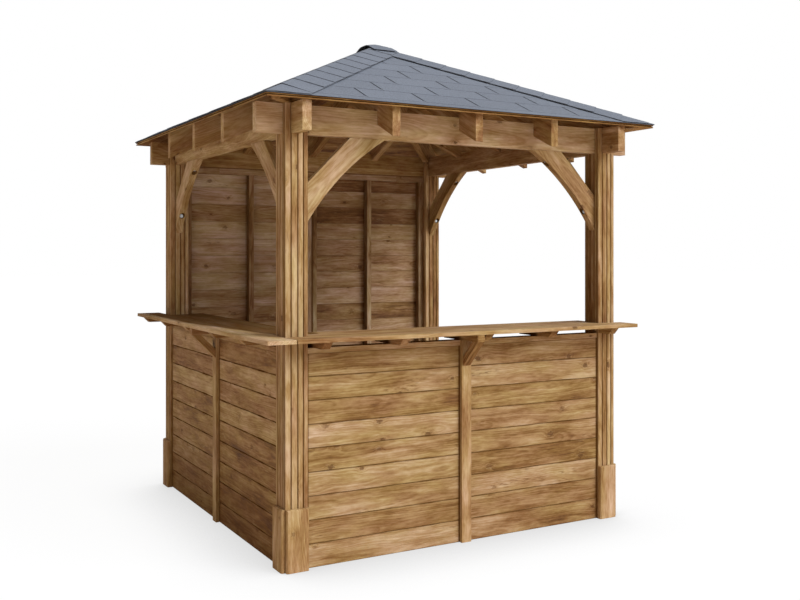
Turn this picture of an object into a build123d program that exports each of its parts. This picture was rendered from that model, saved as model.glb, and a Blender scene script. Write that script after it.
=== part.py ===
from build123d import *
from math import cos, radians, sqrt, tan
import os

# Outdoor garden bar. Four laminated posts carry a ring of cross-halved beams and a pyramid roof.
# Three sides have boarded walls: full height at the back, counter height at the front and left.
# The right side is open and is the way in. A counter runs along the front and the left.
# The origin is the middle of the footprint on the ground. +X is right, -Y is the front, +Z is up.
# All sizes are millimetres.

# Posts
footprint = 2080
post_side = 120
post_corner_chamfer = 3
flute_offsets = (31, 66, 96)
flute_width = 8
flute_depth = 5
shoulder_height = 2130

# Plinth boards round the post feet
plinth_height = 305
plinth_width = 118
plinth_thickness = 20
plinth_bevel = 6

# Beams, halved into the post heads behind the first strip of each post, longer past one end
beam_thickness = 48
beam_depth = 145
beam_inset = 31
beam_long_reach = 136
beam_short_reach = 115
fit_gap = 0.3

# Knee braces, cut from wide boards with a straight back and an arched belly
brace_thickness = 45
brace_back_leg = 248
brace_belly_leg = 452
brace_sagitta = 39

# Roof
roof_pitch = 24.6
eave_overhang = 158
rafter_stand = 85
rafter_thickness = 45
rafter_depth = 142
rafter_spacing = 497
rafter_tail = 130
hip_thickness = 45
hip_depth = 150
hip_tail = 80
deck_thickness = 16
deck_groove_height = 5
deck_groove_depth = 8
shingle_thickness = 6
shingle_drip = 6
shingle_hip_gap = 3
hip_cap_width = 325
hip_cap_thickness = 12
apex_cap_width = 166
apex_cap_length = 280
apex_cap_droop = 18
apex_cap_thickness = 5

# Walls, each of two framed panels with a batten over their joint
board_inset = 12
board_thickness = 18
frame_depth = 45
stud_width = 35
rail_height = 45
batten_width = 60
batten_thickness = 20
cap_rail_height = 28

# Counter
counter_height = 1139
counter_thickness = 20
counter_overhang = 150
counter_inner_reach = 113
counter_board_gap = 5
counter_right_overhang = 45
counter_edge_round = 3
bearer_width = 45
bearer_depth = 38
bearer_setback = 25
front_bearer_spacing = 434
first_bearer_gap = 55
last_bearer_lap = 25
left_bearer_spacing = 480
strut_depth = 34
strut_rise = 136

# Worked out from the sizes above
half = footprint / 2
half_bay = half - post_side
beam_bottom = shoulder_height
beam_top = beam_bottom + beam_depth
slope = tan(radians(roof_pitch))
slant = 1 / cos(radians(roof_pitch))
eave_reach = half + eave_overhang
eave_height = beam_top + rafter_stand - slope * (eave_reach - half + beam_inset)
apex_height = eave_height + slope * eave_reach
board_face = half - board_inset
board_back = board_face - board_thickness
frame_back = board_back - frame_depth
bearer_top = counter_height - counter_thickness
bearer_bottom = bearer_top - bearer_depth
low_wall_height = bearer_bottom - cap_rail_height

up = Vector(0, 0, 1)
side_names = ("front", "right", "back", "left")
outward = {
    "front": Vector(0, -1, 0),
    "right": Vector(1, 0, 0),
    "back": Vector(0, 1, 0),
    "left": Vector(-1, 0, 0),
}
near_line = half - beam_inset - beam_thickness / 2
far_line = half_bay + beam_inset + beam_thickness / 2
beam_line = {"front": near_line, "right": far_line, "back": far_line, "left": near_line}

os.makedirs("parts", exist_ok=True)


def save(name, part):
    part.label = name
    export_step(part, f"parts/{name}.step")


def elevation(side, distance):
    # Seen from outside: local x runs to the right, local y up, and the normal points out.
    out = outward[side]
    return Plane(origin=out * distance, x_dir=up.cross(out), z_dir=out)


def section(out, along=0):
    # Upright cut through the bar: local x is the distance out from the middle, local y the height.
    return Plane(origin=up.cross(out) * along, x_dir=out, z_dir=out.cross(up))


def neighbours(side):
    # The sides at the left and right end of this one, seen from outside.
    place = side_names.index(side)
    return side_names[place - 1], side_names[(place + 1) % 4]


def underside(distance):
    # Height of the roof deck's lower face at a distance out from the middle.
    return apex_height - slope * distance


# Posts, fluted on all four faces, with a cross slot in the head for the two beams


def make_post(name, middle_x, middle_y):
    foot = Plane(origin=(middle_x, middle_y, 0))
    shoulder = foot.offset(shoulder_height)
    slot_middle = beam_inset + beam_thickness / 2 - post_side / 2
    slot_width = beam_thickness + 2 * fit_gap
    with BuildPart() as post:
        with BuildSketch(foot):
            Rectangle(post_side, post_side)
        extrude(amount=beam_top)
        chamfer(post.edges().filter_by(Axis.Z), post_corner_chamfer)
        with BuildSketch(foot):
            with PolarLocations(0, 4):
                with Locations(*[(offset - post_side / 2, -post_side / 2) for offset in flute_offsets]):
                    Polygon((-flute_width / 2, 0), (flute_width / 2, 0), (0, flute_depth), align=None)
        extrude(amount=beam_top, mode=Mode.SUBTRACT)
        with BuildSketch(shoulder):
            with Locations((slot_middle, 0)):
                Rectangle(slot_width, post_side)
            with Locations((0, slot_middle)):
                Rectangle(post_side, slot_width)
        extrude(amount=beam_depth, mode=Mode.SUBTRACT)
    save(name, post.part)


post_middle = half - post_side / 2
for depth_name, y_sign in (("front", -1), ("back", 1)):
    for width_name, x_sign in (("left", -1), ("right", 1)):
        make_post(f"post_{depth_name}_{width_name}", x_sign * post_middle, y_sign * post_middle)


# Plinth boards, one on each outer face of a post, bevelled round the top and sides


def make_plinths(name, ends):
    # Each end is a side and the direction along it, 1 to the right as seen from outside.
    with BuildPart() as plinths:
        for side, end in ends:
            with BuildSketch(elevation(side, half)):
                with Locations((end * post_middle, plinth_height / 2)):
                    Rectangle(plinth_width, plinth_height)
            extrude(amount=plinth_thickness)
            face = plinths.faces(Select.LAST).sort_by(Axis((0, 0, 0), outward[side]))[-1]
            chamfer([edge for edge in face.edges() if edge.center().Z > plinth_bevel], plinth_bevel)
    save(name, plinths.part)


make_plinths("plinths_front", (("front", -1), ("front", 1), ("left", 1), ("right", -1)))
make_plinths("plinths_back", (("back", -1), ("back", 1), ("left", -1), ("right", 1)))


# Beams. The front and back ones are halved from above, the side ones from below.
# Seen from outside, the long end is at the left of every beam but the left one.


def make_beam(side):
    low_end, high_end = neighbours(side)
    low_reach, high_reach = beam_long_reach, beam_short_reach
    if side == "left":
        low_reach, high_reach = beam_short_reach, beam_long_reach
    crossings = (-beam_line[low_end], beam_line[high_end])
    notch_height = beam_bottom + beam_depth * (0.75 if side in ("front", "back") else 0.25)
    with BuildPart() as beam:
        with BuildSketch(elevation(side, beam_line[side])):
            with Locations(((high_reach - low_reach) / 2, beam_bottom + beam_depth / 2)):
                Rectangle(2 * half + low_reach + high_reach, beam_depth)
            with Locations(*[(crossing, notch_height) for crossing in crossings]):
                Rectangle(beam_thickness + 2 * fit_gap, beam_depth / 2, mode=Mode.SUBTRACT)
        extrude(amount=beam_thickness / 2, both=True)
    save(f"beam_{side}", beam.part)


for side in side_names:
    make_beam(side)


# Knee braces in the plane of the beams, on every side but the closed back


def make_brace(side, end, name):
    corner = -end * half_bay
    with BuildPart() as brace:
        with BuildSketch(elevation(side, beam_line[side])):
            with BuildLine():
                back_top = (corner + end * brace_back_leg, beam_bottom)
                belly_top = (corner + end * brace_belly_leg, beam_bottom)
                belly_foot = (corner, beam_bottom - brace_belly_leg)
                back_foot = (corner, beam_bottom - brace_back_leg)
                middle = brace_belly_leg / 2 - brace_sagitta / sqrt(2)
                Line(back_foot, back_top)
                Line(back_top, belly_top)
                ThreePointArc(belly_top, (corner + end * middle, beam_bottom - middle), belly_foot)
                Line(belly_foot, back_foot)
            make_face()
        extrude(amount=brace_thickness / 2, both=True)
    save(name, brace.part)


for side in ("front", "left", "right"):
    for end, end_name in zip((1, -1), neighbours(side)):
        make_brace(side, end, f"brace_{side}_{end_name}")


# Solid pyramid whose faces lie a given height above the deck's lower face


def pyramid(lift, reach):
    with BuildPart() as solid:
        for out, mode in ((outward["front"], Mode.ADD), (outward["right"], Mode.INTERSECT)):
            with BuildSketch(section(out)):
                Polygon(
                    (-reach, underside(reach) + lift),
                    (reach, underside(reach) + lift),
                    (0, apex_height + lift),
                    align=None,
                )
            extrude(amount=reach, both=True, mode=mode)
    return solid.part


# Hip rafters, backed to both roof slopes, mitred at the apex and seated level on the post heads


def make_hip(name, first, second):
    out = (outward[first] + outward[second]).normalized()
    reach = (half + hip_tail) * sqrt(2)
    heel = half_bay * sqrt(2) - fit_gap
    plumb_depth = hip_depth * slant
    with BuildPart() as hip:
        with BuildSketch(section(out)):
            Polygon(
                (0, apex_height),
                (reach, underside(reach / sqrt(2))),
                (reach, beam_top),
                (heel, beam_top),
                (heel, underside(heel / sqrt(2)) - plumb_depth),
                (0, apex_height - plumb_depth),
                align=None,
            )
        extrude(amount=hip_thickness / 2, both=True)
        add(pyramid(0, eave_reach * 2), mode=Mode.INTERSECT)
        corner = out * sqrt(2) * eave_reach / 2
        with BuildSketch(Plane(origin=(corner.X, corner.Y, 0))):
            Rectangle(eave_reach, eave_reach)
        extrude(amount=apex_height, mode=Mode.INTERSECT)
    save(name, hip.part)


for depth_name in ("front", "back"):
    for width_name in ("left", "right"):
        make_hip(f"hip_rafter_{depth_name}_{width_name}", depth_name, width_name)


# Part of the plan that belongs to one roof side, its edges set back from the hip lines


def roof_side_plan(side, setback, reach):
    out = outward[side]
    right = up.cross(out)
    tip = out * setback * sqrt(2)
    spread = reach - setback * sqrt(2)
    left_corner = out * reach - right * spread
    right_corner = out * reach + right * spread
    Polygon((tip.X, tip.Y), (left_corner.X, left_corner.Y), (right_corner.X, right_corner.Y), align=None)


# Three rafters a side, notched over the beam, with plumb tails. The outer two are cut to the hips.


def make_rafters(side):
    reach = half + rafter_tail
    plumb_depth = rafter_depth * slant
    with BuildPart() as rafters:
        for along in (-rafter_spacing, 0, rafter_spacing):
            with BuildSketch(section(outward[side], along)):
                Polygon(
                    (0, apex_height),
                    (reach, underside(reach)),
                    (reach, underside(reach) - plumb_depth),
                    (0, apex_height - plumb_depth),
                    align=None,
                )
                with Locations((beam_line[side], beam_bottom + beam_depth / 2)):
                    Rectangle(beam_thickness + 2 * fit_gap, beam_depth, mode=Mode.SUBTRACT)
            extrude(amount=rafter_thickness / 2, both=True)
        with BuildSketch():
            roof_side_plan(side, hip_thickness / 2 + fit_gap, reach)
        extrude(amount=apex_height, mode=Mode.INTERSECT)
    save(f"rafters_{side}", rafters.part)


for side in side_names:
    make_rafters(side)


# Deck boards, one panel a side. Its eave edge shows the open groove of the lowest board.


def make_deck(side):
    plumb = deck_thickness * slant
    lip = (plumb - deck_groove_height) / 2
    edge = underside(eave_reach)
    groove_back = eave_reach - deck_groove_depth
    with BuildPart() as deck:
        with BuildSketch(section(outward[side])):
            Polygon(
                (0, apex_height),
                (eave_reach, edge),
                (eave_reach, edge + lip),
                (groove_back, underside(groove_back) + lip),
                (groove_back, underside(groove_back) + plumb - lip),
                (eave_reach, edge + plumb - lip),
                (eave_reach, edge + plumb),
                (0, apex_height + plumb),
                align=None,
            )
        extrude(amount=eave_reach, both=True)
        with BuildSketch():
            roof_side_plan(side, 0, eave_reach)
        extrude(amount=apex_height + plumb, mode=Mode.INTERSECT)
    save(f"roof_deck_{side}", deck.part)


for side in side_names:
    make_deck(side)


# Shingle fields, hip caps and apex cap, each layer lying on the one below

deck_plumb = deck_thickness * slant
shingle_plumb = deck_plumb + shingle_thickness * slant
hip_cap_plumb = shingle_plumb + hip_cap_thickness * slant
apex_cap_plumb = hip_cap_plumb + apex_cap_thickness * slant
shingle_reach = eave_reach + shingle_drip

with BuildPart() as shingles:
    with BuildSketch():
        for side in side_names:
            roof_side_plan(side, shingle_hip_gap / 2, shingle_reach)
    extrude(amount=apex_height + shingle_plumb)
    add(pyramid(shingle_plumb, shingle_reach * 2), mode=Mode.INTERSECT)
    add(pyramid(deck_plumb, shingle_reach * 2), mode=Mode.SUBTRACT)
save("roof_shingles", shingles.part)

# Each hip cap is folded along its hip, and neighbouring ones meet along the middle of a roof side.
cap_near = shingle_hip_gap / 2
cap_span = hip_cap_width / sqrt(2)

with BuildPart() as hip_caps:
    with BuildSketch():
        for side in side_names:
            one = outward[side]
            other = outward[neighbours(side)[0]]
            corners = (
                one * cap_near + other * cap_near,
                one * (cap_near + cap_span) + other * cap_near,
                one * shingle_reach + other * (shingle_reach - cap_span),
                one * shingle_reach + other * shingle_reach,
                one * (shingle_reach - cap_span) + other * shingle_reach,
                one * cap_near + other * (cap_near + cap_span),
            )
            Polygon(*[(corner.X, corner.Y) for corner in corners], align=None)
    extrude(amount=apex_height + hip_cap_plumb)
    add(pyramid(hip_cap_plumb, shingle_reach * 2), mode=Mode.INTERSECT)
    add(pyramid(shingle_plumb, shingle_reach * 2), mode=Mode.SUBTRACT)
save("hip_caps", hip_caps.part)

# The apex cap is one strip folded over the top. It lies on the front and the back side and droops
# a little towards its open ends.


def tent(lift):
    lap = apex_cap_length / 2
    end = apex_cap_width / 2
    top = apex_height + lift
    with BuildPart() as solid:
        for out, spread, edge, length, mode in (
            (outward["front"], lap, underside(lap) + lift, end, Mode.ADD),
            (outward["right"], end, top - apex_cap_droop, lap, Mode.INTERSECT),
        ):
            with BuildSketch(section(out)):
                Polygon(
                    (-spread, eave_height),
                    (spread, eave_height),
                    (spread, edge),
                    (0, top),
                    (-spread, edge),
                    align=None,
                )
            extrude(amount=length, both=True, mode=mode)
    return solid.part


with BuildPart() as apex_cap:
    add(tent(apex_cap_plumb))
    add(tent(hip_cap_plumb), mode=Mode.SUBTRACT)
save("apex_cap", apex_cap.part)


# Walls. Each is two panels of boards on studs, seated between the posts.


def make_wall(side, height):
    panel = half_bay - 2 * fit_gap
    panel_middle = half_bay / 2
    with BuildPart() as boards:
        with BuildSketch(elevation(side, board_back)):
            with Locations((-panel_middle, height / 2), (panel_middle, height / 2)):
                Rectangle(panel, height)
        extrude(amount=board_thickness)
    save(f"wall_boards_{side}", boards.part)

    stud_height = height - 2 * rail_height - 2 * fit_gap
    stud_shift = (panel - stud_width) / 2
    studs = [place + shift for place in (-panel_middle, panel_middle) for shift in (-stud_shift, 0, stud_shift)]
    with BuildPart() as frame:
        with BuildSketch(elevation(side, frame_back)):
            for rail_middle in (rail_height / 2, height - rail_height / 2):
                with Locations((-panel_middle, rail_middle), (panel_middle, rail_middle)):
                    Rectangle(panel, rail_height)
            with Locations(*[(stud, height / 2) for stud in studs]):
                Rectangle(stud_width, stud_height)
        extrude(amount=frame_depth)
    save(f"wall_frame_{side}", frame.part)


make_wall("front", low_wall_height)
make_wall("left", low_wall_height)
make_wall("back", beam_bottom)

with BuildPart() as battens:
    for side, height in (("front", bearer_bottom), ("left", bearer_bottom), ("back", beam_bottom)):
        with BuildSketch(elevation(side, board_face)):
            with Locations((0, height / 2)):
                Rectangle(batten_width, height)
        extrude(amount=batten_thickness)
save("wall_battens", battens.part)

with BuildPart() as cap_rails:
    for side in ("front", "left"):
        with BuildSketch(elevation(side, frame_back)):
            with Locations((0, bearer_bottom - cap_rail_height / 2)):
                Rectangle(2 * (half_bay - fit_gap), cap_rail_height)
        extrude(amount=board_face - frame_back)
save("cap_rails", cap_rails.part)


# Counter. An outer board passes the posts, a middle one lies between them, an inner one behind.

counter_out = half + counter_overhang
counter_in = half_bay - counter_inner_reach
outer_edge = half + counter_board_gap / 2
middle_out = half - counter_board_gap / 2
middle_in = half_bay + counter_board_gap / 2
inner_edge = half_bay - counter_board_gap / 2
right_end = half + counter_right_overhang
inner_end = frame_back - counter_board_gap / 2


def make_counter(name, boards):
    # Each board is given by its lowest and highest x and y.
    with BuildPart() as counter:
        with BuildSketch(Plane.XY.offset(bearer_top)):
            for low_x, high_x, low_y, high_y in boards:
                with Locations(((low_x + high_x) / 2, (low_y + high_y) / 2)):
                    Rectangle(high_x - low_x, high_y - low_y)
        extrude(amount=counter_thickness)
        fillet(counter.faces().filter_by(Axis.Z).group_by(Axis.Z)[-1].edges(), counter_edge_round)
    save(name, counter.part)


make_counter("counter_front", (
    (counter_board_gap - outer_edge, right_end, -counter_out, -outer_edge),
    (-inner_edge, inner_edge, -middle_out, -middle_in),
    (counter_board_gap - counter_in, inner_end, -inner_edge, -counter_in),
))
make_counter("counter_left", (
    (-counter_out, -outer_edge, -counter_out, counter_out),
    (-middle_out, -middle_in, -inner_edge, inner_edge),
    (-inner_edge, -counter_in, -inner_edge, inner_end),
))


# Bearers under the counter, their ends cut back at 45 degrees

bearer_out = counter_out - bearer_setback
bearer_in = counter_in + bearer_setback / 2
bearer_long = counter_out - counter_edge_round
end_bearer = bearer_out - bearer_width / 2
first_bearer = first_bearer_gap - half_bay
last_bearer = half_bay + last_bearer_lap


def make_bearers(name, side, bars):
    # Each bar is its place along the side, its inner and outer distance, and the cut at each end.
    with BuildPart() as bearers:
        for along, low, high, cut_low, cut_high in bars:
            with BuildSketch(section(outward[side], along)):
                Polygon(
                    (low, bearer_top),
                    (high, bearer_top),
                    (high - cut_high, bearer_bottom),
                    (low + cut_low, bearer_bottom),
                    align=None,
                )
            extrude(amount=bearer_width / 2, both=True)
    save(name, bearers.part)


make_bearers("bearers_front", "front", (
    (first_bearer, bearer_in, bearer_out, bearer_depth, bearer_depth),
    (first_bearer + front_bearer_spacing, bearer_in, bearer_out, bearer_depth, bearer_depth),
    (0, bearer_in, bearer_long, bearer_depth, 0),
    (last_bearer - 2 * front_bearer_spacing, bearer_in, bearer_out, bearer_depth, bearer_depth),
    (last_bearer - front_bearer_spacing, bearer_in, bearer_out, bearer_depth, bearer_depth),
    (last_bearer, half, bearer_out, 0, bearer_depth),
))
make_bearers("bearers_left", "left", (
    (-end_bearer, outer_edge, bearer_out, 0, bearer_depth),
    (-1.5 * left_bearer_spacing, bearer_in, bearer_out, bearer_depth, bearer_depth),
    (-0.5 * left_bearer_spacing, bearer_in, bearer_out, bearer_depth, bearer_depth),
    (0, bearer_in, bearer_long, bearer_depth, 0),
    (0.5 * left_bearer_spacing, bearer_in, bearer_out, bearer_depth, bearer_depth),
    (1.5 * left_bearer_spacing, bearer_in, bearer_out, bearer_depth, bearer_depth),
))


# Struts from the battens up to the middle bearers

with BuildPart() as struts:
    strut_back = board_face + batten_thickness
    strut_foot = bearer_bottom - strut_rise
    thick = strut_depth * sqrt(2)
    for side in ("front", "left"):
        with BuildSketch(section(outward[side])):
            Polygon(
                (strut_back, strut_foot),
                (strut_back + strut_rise, bearer_bottom),
                (strut_back + strut_rise - thick, bearer_bottom),
                (strut_back, strut_foot + thick),
                align=None,
            )
        extrude(amount=bearer_width / 2, both=True)
save("counter_struts", struts.part)
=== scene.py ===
import math
import random

import bmesh
import bpy
from mathutils import Matrix, Vector


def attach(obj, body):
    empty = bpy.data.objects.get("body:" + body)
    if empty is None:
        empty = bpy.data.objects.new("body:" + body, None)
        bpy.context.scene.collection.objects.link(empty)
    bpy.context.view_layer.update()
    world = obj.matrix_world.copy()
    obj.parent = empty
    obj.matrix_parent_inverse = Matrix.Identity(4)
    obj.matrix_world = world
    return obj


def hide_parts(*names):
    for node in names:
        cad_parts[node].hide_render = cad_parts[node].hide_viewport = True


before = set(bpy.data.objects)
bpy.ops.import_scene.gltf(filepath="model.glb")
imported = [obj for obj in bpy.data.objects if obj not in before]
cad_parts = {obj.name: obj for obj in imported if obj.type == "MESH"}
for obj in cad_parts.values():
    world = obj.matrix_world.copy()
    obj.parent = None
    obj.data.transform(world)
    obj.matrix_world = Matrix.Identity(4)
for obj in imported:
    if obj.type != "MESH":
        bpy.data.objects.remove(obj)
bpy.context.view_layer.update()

# Looks of the outdoor garden bar: wall boards, roof boards, shingles, hip caps, knee braces, bolts
# and all materials. Metres, with the origin in the middle of the footprint on the ground.

chance = random.Random(11)

# Sizes shared with the construction
half = 1.04
half_bay = 0.92
post_side = 0.12
flute_offsets = (0.031, 0.066, 0.096)
beam_bottom = 2.130
roof_pitch = math.radians(24.6)
slope = math.tan(roof_pitch)
slant = 1 / math.cos(roof_pitch)
eave_reach = 1.198
eave_height = 2.275 + 0.085 - slope * (eave_reach - half + 0.031)
apex_height = eave_height + slope * eave_reach
deck_thickness = 0.016
shingle_thickness = 0.006
shingle_reach = 1.204
hip_cap_width = 0.325
hip_cap_thickness = 0.012
apex_cap_width = 0.166
apex_cap_length = 0.280
apex_cap_droop = 0.023
apex_cap_thickness = 0.005
apex_sheet_thickness = 0.003
rafter_spacing = 0.497
board_face = 1.028
board_thickness = 0.018
panel_width = 0.9194
low_wall_height = 1.053
rail_height = 0.045
stud_lines = (0.0178, 0.460, 0.9022)
stud_half = 0.0175
cap_rail_top = 1.081
cap_rail_corner = 0.922
counter_level = 1.136
brace_thickness = 0.045
brace_belly_leg = 0.452
brace_sagitta = 0.039
beam_inset_line = 0.985
beam_far_line = 0.975

x_way, y_way, up = Vector((1, 0, 0)), Vector((0, 1, 0)), Vector((0, 0, 1))
outward = {
    "front": Vector((0, -1, 0)),
    "right": Vector((1, 0, 0)),
    "back": Vector((0, 1, 0)),
    "left": Vector((-1, 0, 0)),
}
side_names = tuple(outward)


def rightward(side):
    # Direction to the right along a side, seen from outside
    return up.cross(outward[side])


def underside(distance):
    # Height of the roof boards' lower face at a distance out from the middle
    return apex_height - slope * distance


# Meshes


def linked(name, data):
    made = bpy.data.objects.new(name, data)
    bpy.context.scene.collection.objects.link(made)
    return made


def keep_vectors(mesh, label, vectors):
    # Stores one vector for each point of a mesh
    layer = mesh.attributes.new(label, "FLOAT_VECTOR", "POINT")
    layer.data.foreach_set("vector", [number for vector in vectors for number in vector])


class Piece:
    # Gathers the solids of one mesh. Every point keeps its place along, across and through the
    # grain of its own board, and each board has three chance values of its own.
    def __init__(self, name):
        self.name = name
        self.points = []
        self.faces = []
        self.grain = []
        self.member = []

    def add(self, points, faces, grain, member):
        start = len(self.points)
        self.points.extend(points)
        self.faces.extend([start + index for index in face] for face in faces)
        self.grain.extend(grain)
        self.member.extend([member] * len(points))

    def finish(self, material, slot, *nodes):
        mesh = bpy.data.meshes.new(self.name)
        mesh.from_pydata([tuple(point) for point in self.points], [], self.faces)
        keep_vectors(mesh, "grain", self.grain)
        keep_vectors(mesh, "member", self.member)
        mesh.materials.append(material)
        mesh.update()
        piece = linked(self.name, mesh)
        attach(piece, "root")
        if nodes:
            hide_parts(*nodes)


def three_chances():
    return (chance.random(), chance.random(), chance.random())


def loft(piece, rings, grains, member):
    # Solid through rings of equal length, closed at both ends
    count = len(rings[0])
    points = [point for ring in rings for point in ring]
    grain = [value for ring in grains for value in ring]
    faces = []
    for step in range(len(rings) - 1):
        for index in range(count):
            after = (index + 1) % count
            low = step * count
            high = low + count
            faces.append((low + index, low + after, high + after, high + index))
    faces.append(tuple(reversed(range(count))))
    last = (len(rings) - 1) * count
    faces.append(tuple(last + index for index in range(count)))
    piece.add(points, faces, grain, member)


# Wall boards

wall_board_pitch = 0.1175
wall_board_gap = 0.0010
wall_board_cut = 0.0021
wall_board_back_cut = 0.0010
wall_board_unevenness = 0.0007
shortest_wall_board = 0.02
tongue_reach = 0.007
tongue_low = 0.006
tongue_high = 0.011
groove_play = 0.0003
groove_extra_depth = 0.0005

# How much lighter or darker than its wood the boards of a panel are
panel_lightness = {
    ("front", "near"): 0.05,
    ("front", "far"): -0.25,
    ("left", "near"): 0.0,
    ("left", "far"): -0.25,
    ("back", "near"): -0.16,
    ("back", "far"): 0.36,
}


def tongued(width, thickness, tongue, groove):
    # Cross-section of a board with eased corners, a tongue on its far edge and a groove in its near one
    cut, back_cut = wall_board_cut, wall_board_back_cut
    section = [(back_cut, 0), (width - back_cut, 0), (width, back_cut)]
    if tongue:
        section += [
            (width, tongue_low),
            (width + tongue_reach, tongue_low),
            (width + tongue_reach, tongue_high),
            (width, tongue_high),
        ]
    section += [(width, thickness - cut), (width - cut, thickness), (cut, thickness), (0, thickness - cut)]
    if groove:
        section += [
            (0, tongue_high + groove_play),
            (tongue_reach + groove_extra_depth, tongue_high + groove_play),
            (tongue_reach + groove_extra_depth, tongue_low - groove_play),
            (0, tongue_low - groove_play),
        ]
    return section + [(0, back_cut)]


def board_wall(side, height):
    piece = Piece(f"boards_{side}")
    out, right = outward[side], rightward(side)
    full_width = wall_board_pitch - wall_board_gap
    for middle, panel in ((-half_bay / 2, "near"), (half_bay / 2, "far")):
        low = 0.0
        while low < height - shortest_wall_board:
            high = min(low + wall_board_pitch, height)
            width = high - low - wall_board_gap
            thickness = board_thickness - chance.uniform(0, wall_board_unevenness)
            section = tongued(width, thickness, high < height, low > 0)
            rings = []
            grains = []
            for end in (-panel_width / 2, panel_width / 2):
                rings.append([
                    right * (middle + end) + up * (low + wall_board_gap / 2 + across)
                    + out * (board_face - board_thickness + depth)
                    for across, depth in section
                ])
                grains.append([(end, across - full_width / 2, depth) for across, depth in section])
            lightness, second, third = three_chances()
            loft(piece, rings, grains, (lightness + panel_lightness[side, panel], second, third))
            low = high
    return piece


# Roof boards, each a strip along its side with ends mitred at the hips

roof_board_count = 14
roof_board_gap = 0.0010
roof_board_cut = 0.003
roof_board_top_end = 0.004
mitre_gap = 0.0005
deck_plumb = deck_thickness * slant
groove_height = 0.005
groove_depth = 0.008
groove_lip = (deck_plumb - groove_height) / 2


def roof_boards(side):
    piece = Piece(f"roof_boards_{side}")
    out, right = outward[side], rightward(side)
    pitch = eave_reach / roof_board_count
    for count in range(roof_board_count):
        far = eave_reach - count * pitch
        near = max(far - pitch + roof_board_gap, roof_board_top_end)
        cut = roof_board_cut
        section = [(near, deck_plumb), (near, cut), (near + cut, 0), (far - cut, 0), (far, cut)]
        if count == 0:
            inner = far - groove_depth
            section[3:] = [
                (far, 0), (far, groove_lip), (inner, groove_lip),
                (inner, deck_plumb - groove_lip), (far, deck_plumb - groove_lip),
            ]
        section += [(far, deck_plumb)]
        rings = []
        grains = []
        for end in (-1, 1):
            rings.append([
                out * distance + right * end * (distance - mitre_gap) + up * (underside(distance) + lift)
                for distance, lift in section
            ])
            grains.append([(end * distance, distance - far + pitch / 2, lift) for distance, lift in section])
        loft(piece, rings, grains, three_chances())
    return piece


# Shingles: tabs in courses on a thin underlay

tab_width = 1 / 3
tab_slit = 0.0095
tab_thickness = 0.0018
tab_lift = 0.0026
tab_nudge = 0.001
tab_unevenness = 0.0002
tab_hip_gap = 0.0025
starter_slit = 0.001
first_course = 0.052
course_step = 0.1645
course_lap = 0.03
shortest_course = 0.05
odd_course_shift = 0.015
top_gap = 0.005
head_lift = 0.0008
underlay_inset = 0.003
underlay_top_gap = 0.01
underlay_faces = (0.0001, 0.0005)
shingle_plumb = deck_plumb + shingle_thickness * slant


def keep_inside(polygon, inside):
    # The part of a flat polygon where the signed distance is positive
    kept = []
    for index, here in enumerate(polygon):
        there = polygon[(index + 1) % len(polygon)]
        near, far = inside(here), inside(there)
        if near >= 0:
            kept.append(here)
        if (near >= 0) != (far >= 0):
            share = near / (near - far)
            kept.append(tuple(a + (b - a) * share for a, b in zip(here, there)))
    return kept


def plate(piece, outline, bottom, top, member, shades):
    # Thin plate between two surfaces over one outline. Bottom and top turn a point into space;
    # the shades of the two run from 0, the black core, to 1, the granules.
    count = len(outline)
    points = [bottom(point) for point in outline] + [top(point) for point in outline]
    grain = [(point[0], point[1], shade) for shade in shades for point in outline]
    faces = [tuple(reversed(range(count))), tuple(range(count, 2 * count))]
    for index in range(count):
        after = (index + 1) % count
        faces.append((index, after, count + after, count + index))
    piece.add(points, faces, grain, member)


def shingle_side(piece, side):
    out, right = outward[side], rightward(side)
    length = shingle_reach * slant

    def placed(point, lift):
        along, rise = point
        distance = shingle_reach - rise / slant
        return right * along + out * distance + up * (underside(distance) + deck_plumb + lift * slant)

    def clipped(outline):
        for sign in (-1, 1):
            outline = keep_inside(
                outline, lambda point: shingle_reach - point[1] / slant - tab_hip_gap - sign * point[0]
            )
        return outline

    def lay(low, high, left, right_end, lower, member):
        outline = clipped([(left, low), (right_end, low), (right_end, high), (left, high)])
        if len(outline) < 3:
            return

        def raised(point, extra):
            share = (point[1] - low) / (high - low)
            return placed(point, lower + (head_lift - lower) * share + extra)

        plate(piece, outline, lambda p: raised(p, 0), lambda p: raised(p, tab_thickness), member, (0.72, 1))

    ends = clipped([
        (-shingle_reach, underlay_inset), (shingle_reach, underlay_inset), (0, length - underlay_top_gap)
    ])
    bottom_face, top_face = (lambda p, lift=lift: placed(p, lift) for lift in underlay_faces)
    plate(piece, ends, bottom_face, top_face, (0.5, 0.5, 0.5), (0, 0))
    course = -1
    low = 0.0
    while low < length - shortest_course:
        high = first_course + (course + 1) * course_step
        top = min(high + course_lap, length - top_gap)
        starter = course < 0
        width = 3 * tab_width if starter else tab_width
        slit = starter_slit if starter else tab_slit
        place = odd_course_shift + (tab_width / 2 if course % 2 else 0) - 5 * width
        while place < shingle_reach:
            nudge = chance.uniform(-tab_nudge, tab_nudge)
            lower = tab_lift + chance.uniform(-tab_unevenness, tab_unevenness)
            lay(low + nudge if low > 0 else low, top, place + slit / 2, place + width - slit / 2, lower,
                three_chances())
            place += width
        low = high
        course += 1


# Hip caps, folded pieces that lap down each hip

cap_exposure = 0.1515
cap_first_lap = 0.155
cap_length = 0.317
cap_sheet = 0.0026
cap_bottom_lift = 0.0002
cap_low_lift = 0.0056
cap_fold = 0.007
cap_top_gap = 0.0015
cap_skew = 0.002
cap_narrowing = 0.0015
cap_flattening_run = 0.20
cap_flat_share = 0.15
cap_steps = (-1, -0.55, -0.12, -0.06, -0.03, 0, 0.03, 0.06, 0.12, 0.55, 1)


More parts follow.
